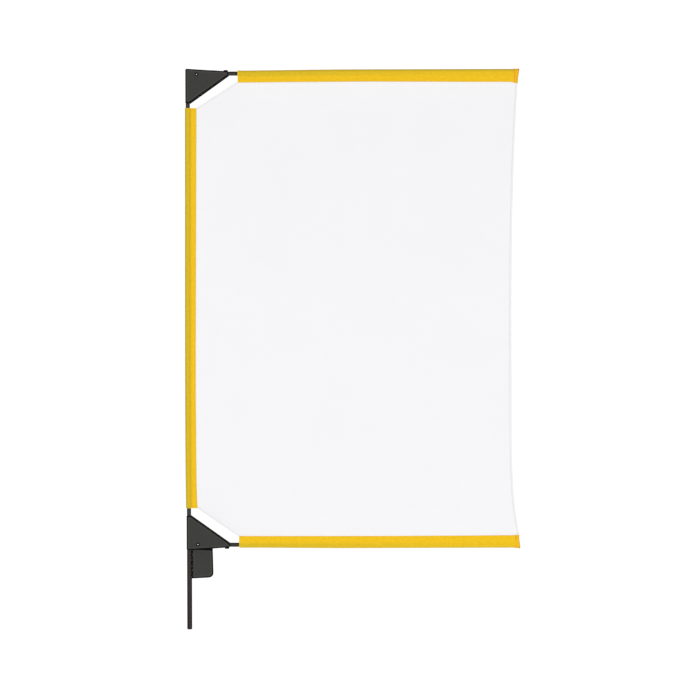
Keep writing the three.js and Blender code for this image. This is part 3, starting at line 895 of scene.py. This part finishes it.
class SCRIM_OT_panel(bpy.types.Operator):
    """Make the white panel and its hems"""
    bl_idname = "scrim.panel"
    bl_label = "Panel"

    def execute(self, context):
        sizes, colours = context.scene.scrim_sizes, context.scene.scrim_colours
        silk = silk_material("white_silk", colours.silk)
        # The hems' doubled silk is drawn a little darker: painted shade along the folded edges.
        double = silk_material("white_silk_double_shaded", colours.silk, shade_factor=0.965)
        panel = self.sheet(sizes, silk)
        hems = [self.hem("free_edge_hem", self.free_path(), sizes, double)]
        hems += [self.hem(f"{side}_corner_hem", self.cut_path(side), sizes, double) for side in SIDES]
        thread = thread_material("grey_thread", (0.62, 0.63, 0.6))
        path = [spot + Vector((-3.2 * MM, 0, 0)) for spot in self.free_path()]
        for sign, face in ((-1, "front"), (1, "back")):
            stand = [ripple(spot.x, spot.z, sizes) + sign * 0.42 * MM for spot in path]
            lifted = [spot + Vector((0, y, 0)) for spot, y in zip(path, stand)]
            hems.append(stitch_row(
                f"free_edge_stitches_{face}", lifted, [Vector((0, sign, 0))] * len(path), sizes, thread))
        for piece in [panel, *hems]:
            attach(piece, ROOT)
            squash_panel(piece)
        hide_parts("panel")
        return {"FINISHED"}

    def sheet(self, sizes, material):
        columns, rows = 150, 130
        points, uv = [], []
        for r in range(rows + 1):
            v = r / rows
            row = []
            for c in range(columns + 1):
                t = c / columns
                x = PANEL_LEFT + t * (PANEL_X[1] - PANEL_LEFT)
                low, high = cut_height("lower", x), cut_height("upper", x)
                z = low + (high - low) * v
                x += (free_edge_x(z) - PANEL_X[1]) * smooth_step((t - 0.3) / 0.7)
                row.append(Vector((x, ripple(x, z, sizes), z)))
            points.append(row)
            uv.append([(p.x, p.z) for p in row])
        return grid_object("panel_silk", points, material, sizes.silk, uv=uv)

    def free_path(self):
        heights = spread(PANEL_Z[0] - TUCK, PANEL_Z[1] + TUCK, 120)
        return [Vector((free_edge_x(z), 0, z)) for z in heights]

    def cut_path(self, side):
        places = spread(BAND_END_X - MM, ARM_SLEEVE_X[0] + MM, 24)
        return [Vector((x, 0, cut_height(side, x))) for x in places]

    def hem(self, name, path, sizes, material):
        """A folded edge: a flat loop of cloth round the panel's edge."""
        points, uv = [], []
        run = 0.0
        for i, spot in enumerate(path):
            ahead = path[min(i + 1, len(path) - 1)] - path[max(i - 1, 0)]
            across = Vector((-ahead.z, 0, ahead.x)).normalized()
            centre = Vector((0.3, 0, (PANEL_Z[0] + PANEL_Z[1]) / 2))
            if across.dot(centre - spot) < 0:
                across = -across
            run += (spot - path[i - 1]).length if i else 0.0
            half = HEM_HALF + HEM_PUCKER * math.sin(run / (7 * MM) * TURN)
            outline = [(sizes.hem, -half * 0.8)]
            outline += [(0.15 * sizes.hem, -half)]
            outline += [(-0.35 * MM * math.cos(a), half * math.sin(a)) for a in (-1.2, -0.6, 0, 0.6, 1.2)]
            outline += [(0.15 * sizes.hem, half), (sizes.hem, half * 0.8)]
            lift = Vector((0, ripple(spot.x, spot.z, sizes), 0))
            points.append([spot + across * a + Vector((0, b, 0)) + lift for a, b in outline])
            uv.append([(run, k * 0.0015) for k in range(len(outline))])
        return grid_object(name, points, material, closed=True, uv=uv)


class SCRIM_OT_arm_sleeves(bpy.types.Operator):
    """Make the two arm sleeves and the bands that close them"""
    bl_idname = "scrim.arm_sleeves"
    bl_label = "Arm Sleeves"

    def execute(self, context):
        sizes, colours = context.scene.scrim_sizes, context.scene.scrim_colours
        twill = twill_material("yellow_twill", colours.yellow, colours.yellow_backed)
        band = twill_material(
            "yellow_binding", tuple(c * f for c, f in zip(colours.yellow, (1, 0.93, 0.6))),
            tuple(c * f for c, f in zip(colours.yellow_backed, (1.15, 1.0, 0.6))), 0.7 * MM)
        tack = thread_material("bar_tack_thread", colours.orange)
        for side in SIDES:
            self.sleeve(side, sizes, twill)
            self.binding(side, sizes, band, tack)
        return {"FINISHED"}

    def flare(self, side, x):
        """How far the sewn edge is pulled towards the panel near the outer end."""
        share = (x - ARM_SLEEVE_X[1] + END_FLARE_LENGTH) / END_FLARE_LENGTH
        return END_FLARE[side] * smooth_step(share)

    def shape(self, side, section, x, s, w):
        """Where a point (s, w) of the sleeve really lies: bowed, and drawn in unevenly."""
        loose = smooth_step(s / section.depth)
        swell = SWELL * wobble(x * 60, w * 200 + s * 90, 2 if side == "upper" else 5)
        pucker = PUCKER * math.sin(x / PUCKER_PITCH * TURN + s * 300) * loose
        w += math.copysign(swell + pucker, w) * min(1, abs(w) / MM)
        inner = smooth_step((s + section.radius) / (section.depth + section.radius))
        s -= SLEEVE_BOW * bow(x) * (1 - inner) + edge_bow(side, x) * inner
        s += self.flare(side, x) * loose
        if side == "lower":
            s -= 1.2 * MM * smooth_step((x - ARM_SLEEVE_X[1] + 0.01) / 0.01) * (1 - inner)
        s += SWAY * wobble(x * 14, 3.1, 1 if side == "upper" else 8) * loose
        return s, w

    def finish(self, piece, side, rides_flap, section, slot):
        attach(piece, f"{side}_arm_assembly")
        if rides_flap:
            tuple(section.along)
            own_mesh(piece)
        return piece

    def declare(self, piece, along, across, side):
        flat = (max(along, 10.1 * MM), max(across, 10.1 * MM))

    def sleeve(self, side, sizes, material):
        section = Section(side, sizes)
        start, end = ARM_SLEEVE_X[0], ARM_SLEEVE_X[1] - 2 * MM
        xs = row_places(start, end, ROW_STEP)

        def lift(x, s, w):
            return *self.shape(side, section, x, s, w), x

        pocket, across = lay_strip(
            f"{side}_sleeve_pocket", section, section.pocket(), xs, material, sizes.cloth, lift, over_rod)
        self.finish(pocket, side, False, section, "yellow_cloth")
        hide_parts(f"{side}_sleeve")
        self.declare(pocket, end - start, across, side)
        for sign, layer_name in ((1, "front"), (-1, "back")):
            outline = section.layer(sign, section.depth)
            flap, across = lay_strip(
                f"{side}_sleeve_{layer_name}", section, outline, xs, material, sizes.cloth, lift, over_rod)
            self.finish(flap, side, True, section, "yellow_cloth")
            self.declare(flap, end - start, across, side)
        self.seam(side, section, sizes)
        turned = Section(side, sizes, grow=0.3 * MM)
        xs = row_places(start + 0.2 * MM, start + 3.2 * MM, 0.75 * MM)
        self.band(side, f"{side}_mouth_hem", turned, xs, material, lift, "yellow_cloth")

    def seam(self, side, section, sizes):
        """Two rows of stitches on each face of the sewn edge, and one at the open mouth."""
        thread = bpy.data.materials.get("yellow_thread") or thread_material(
            "yellow_thread", bpy.context.scene.scrim_colours.yellow)
        xs = row_places(ARM_SLEEVE_X[0] + 2 * MM, ARM_SLEEVE_X[1] - sizes.binding - MM, SEAM_STEP)
        for sign, face in ((1, "front"), (-1, "back")):
            for number, inset in enumerate((1.3 * MM, 4.0 * MM)):
                path, normals = [], []
                for x in xs:
                    s, w = section.straight(section.depth - inset, sign)
                    s, w = self.shape(side, section, x, s, w)
                    w += sign * sizes.cloth / 2
                    path.append(section.point(x, s, w))
                    normals.append(section.across * sign)
                row = stitch_row(f"{side}_seam_{face}_{number}", path, normals, sizes, thread)
                self.finish(row, side, True, section, "yellow_cloth")
        self.mouth(side, section, sizes, thread)

    def mouth(self, side, section, sizes, thread):
        """The row of stitches that holds the hem at the sleeve's open mouth."""
        x = ARM_SLEEVE_X[0] + 5 * MM
        outline = section.pocket(16)
        path, normals = [], []
        for s, w in outline:
            s, w = self.shape(side, section, x, s, w)
            out = Vector((s, w)).normalized() * (sizes.cloth / 2)
            path.append(section.point(x, s + out.x, w + out.y))
            normals.append((section.along * out.x + section.across * out.y).normalized())
        row = stitch_row(f"{side}_mouth_seam", path, normals, sizes, thread)
        self.finish(row, side, False, section, "yellow_cloth")

    def binding(self, side, sizes, material, tack):
        """A band folded over the sleeve's outer end. Its end slants back towards the panel."""
        section = Section(side, sizes, grow=0.35 * MM)
        start, end = ARM_SLEEVE_X[1] - sizes.binding, ARM_SLEEVE_X[1]
        slant = 3.2 * MM
        xs = row_places(start, end, 1.1 * MM)

        def lift(x, s, w):
            s, w = self.shape(side, section, x, s, w)
            share = (x - start) / (end - start)
            close = 1 - smooth_step((share - 0.86) / 0.14) ** 2
            here = x - slant * share * min(1, max(0, (s + section.radius) / (section.depth + section.radius)))
            return s, w * (0.04 + 0.96 * close), here

        parts = [("cap", section.pocket(), False)]
        parts += [(face, section.layer(sign, section.depth + 0.5 * MM), True)
                  for sign, face in ((1, "front"), (-1, "back"))]
        for name, outline, flap in parts:
            # The binding gets half of the painted shade over the rod.
            piece, across = lay_strip(
                f"{side}_binding_{name}", section, outline, xs, material, 0.5 * MM, lift,
                lambda x, s: 0.5 * over_rod(x, s))
            self.finish(piece, side, flap, section, "yellow_binding")
            self.declare(piece, end - start, across, side)
        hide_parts(f"{side}_sleeve_end_binding")
        outside = Section(side, sizes, grow=0.75 * MM)
        for number, (x0, x1) in enumerate(((0.4, 2.6), (7.6, 9.0))):
            bars = row_places(start + x0 * MM, start + x1 * MM, 0.55 * MM)
            self.band(side, f"{side}_bar_tack_{number}", outside, bars, tack, lift, "yellow_binding")

    def band(self, side, name, section, xs, material, lift, slot):
        """A narrow raised strip all round the sleeve, such as a hem or a row of dense stitches."""
        parts = (("cap", section.pocket(), False), ("front", section.layer(1, section.depth), True),
                 ("back", section.layer(-1, section.depth), True))
        for part, outline, flap in parts:
            piece, _ = lay_strip(
                f"{name}_{part}", section, outline, xs, material, 0.3 * MM, lift, lambda x, s: 0.0)
            self.finish(piece, side, flap, section, slot)


class SCRIM_OT_spine_sleeve(bpy.types.Operator):
    """Make the spine sleeve that wraps the tube and closes with hook and loop tape"""
    bl_idname = "scrim.spine_sleeve"
    bl_label = "Spine Sleeve"

    def execute(self, context):
        sizes, colours = context.scene.scrim_sizes, context.scene.scrim_colours
        twill = twill_material("yellow_twill_spine", colours.yellow, colours.yellow_backed)
        thread = thread_material("spine_thread", colours.yellow)
        low, high = SPINE_SLEEVE_Z
        zs = row_places(low, high, ROW_STEP)
        radius = sizes.pocket + 0.3 * MM
        front = -1.0 * MM
        outline = self.outline(radius, front, span("hook_tape", 1)[1] + 0.35 * MM)
        across = strip_lengths(outline)
        points, uv, backed = [], [], []
        for z in zs:
            row = []
            for (x, y), v in zip(outline, across):
                inner = smooth_step((x - radius) / (BAND_END_X - SPINE_X - radius))
                drawn = self.drawn(z, inner)
                swell = SWELL * wobble(z * 60, v * 200, 11)
                pucker = 0.9 * PUCKER * math.sin(z / PUCKER_PITCH * TURN + x * 300) * inner
                sway = 0.3 * MM * wobble(z * 12, 5.0, 3) * inner
                row.append(Vector((SPINE_X + x - drawn + sway, y + math.copysign(swell + pucker, y), z)))
            points.append(row)
            uv.append([(z, v) for v in across])
            backed.append([self.backing(x, radius) for x, _ in outline])
        sleeve = grid_object("spine_sleeve_twill", points, twill, sizes.cloth, uv=uv, backed=backed)
        self.finish(sleeve, "yellow_cloth")
        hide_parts("spine_sleeve")
        self.seams(sizes, thread, radius, front)
        self.tapes()
        return {"FINISHED"}

    def outline(self, radius, front, flap):
        """From the front edge, round the tube and back along the flap, as (x, y) about the tube."""
        end = BAND_END_X - SPINE_X
        seam = radius + 0.9 * MM
        points = [(end - (end - seam) * i / 8, front) for i in range(9)]
        start_angle = math.atan2(front * 1.5, radius)
        turn = TURN + 2 * start_angle - math.radians(14)
        steps = 30
        for i in range(1, steps + 1):
            a = start_angle - turn * i / steps
            points.append((radius * math.cos(a), radius * math.sin(a)))
        points += [(seam + 0.6 * MM + (end - seam - 0.6 * MM) * i / 8, flap) for i in range(9)]
        return points

    def drawn(self, z, inner):
        """How far the sleeve is drawn away from the panel: most below the middle."""
        low, high = SPINE_SLEEVE_Z
        along = min(1, max(0, (z - low) / (high - low)))
        pull = math.sin(math.pi * along ** 0.55) ** 1.3
        edge_pull, rod_pull = 2.5 * MM, 1.2 * MM
        return pull * (edge_pull * inner + rod_pull * (1 - inner))

    # Painted shade: 1 over the tube, where the cloth takes its darker tone, falling to a little beyond it.
    def backing(self, x, radius):
        return 1 - smooth_step((x - radius * 0.8) / (0.6 * MM)) * 0.92

    def finish(self, piece, slot):
        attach(piece, ROOT)
        return piece

    def seams(self, sizes, thread, radius, front):
        low, high = SPINE_SLEEVE_Z
        zs = row_places(low + 2 * MM, high - 2 * MM, SEAM_STEP)
        end = BAND_END_X - SPINE_X
        rows = (("inner_seam", radius + 1.3 * MM, 0.0), ("outer_seam", end - 1.4 * MM, 1.0))
        for name, x, pulled in rows:
            path = [
                Vector((SPINE_X + x - self.drawn(z, pulled), front - sizes.cloth / 2, z)) for z in zs
            ]
            row = stitch_row(f"spine_{name}", path, [Vector((0, -1, 0))] * len(path), sizes, thread)
            self.finish(row, "yellow_cloth")

    def tapes(self):
        finishes = {
            "loop_tape": pile_material("loop_pile", 1400, 0.98),
            "hook_tape": pile_material("hook_pile", 2600, 0.8),
        }
        for name, material in finishes.items():
            dress(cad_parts[name], material)


PARTS = (
    SCRIM_OT_stage,
    SCRIM_OT_metalwork,
    SCRIM_OT_panel,
    SCRIM_OT_arm_sleeves,
    SCRIM_OT_spine_sleeve,
)


class SCRIM_PT_sidebar(bpy.types.Panel):
    """Lists the steps in the 3D view's sidebar"""
    bl_label = "Scrim"
    bl_idname = "SCRIM_PT_sidebar"
    bl_space_type = "VIEW_3D"
    bl_region_type = "UI"
    bl_category = "Scrim"

    def draw(self, context):
        for part in PARTS:
            self.layout.operator(part.bl_idname)
        for group in (context.scene.scrim_sizes, context.scene.scrim_colours):
            for name in group.__annotations__:
                self.layout.prop(group, name)


CLASSES = (ScrimSizes, ScrimColours, *PARTS, SCRIM_PT_sidebar)


def register():
    for item in CLASSES:
        bpy.utils.register_class(item)
    bpy.types.Scene.scrim_sizes = bpy.props.PointerProperty(type=ScrimSizes)
    bpy.types.Scene.scrim_colours = bpy.props.PointerProperty(type=ScrimColours)


def unregister():
    del bpy.types.Scene.scrim_colours
    del bpy.types.Scene.scrim_sizes
    for item in reversed(CLASSES):
        bpy.utils.unregister_class(item)


def main():
    register()
    for part in PARTS:
        group, step = part.bl_idname.split(".")
        getattr(getattr(bpy.ops, group), step)()


if __name__ == "__main__":
    main()
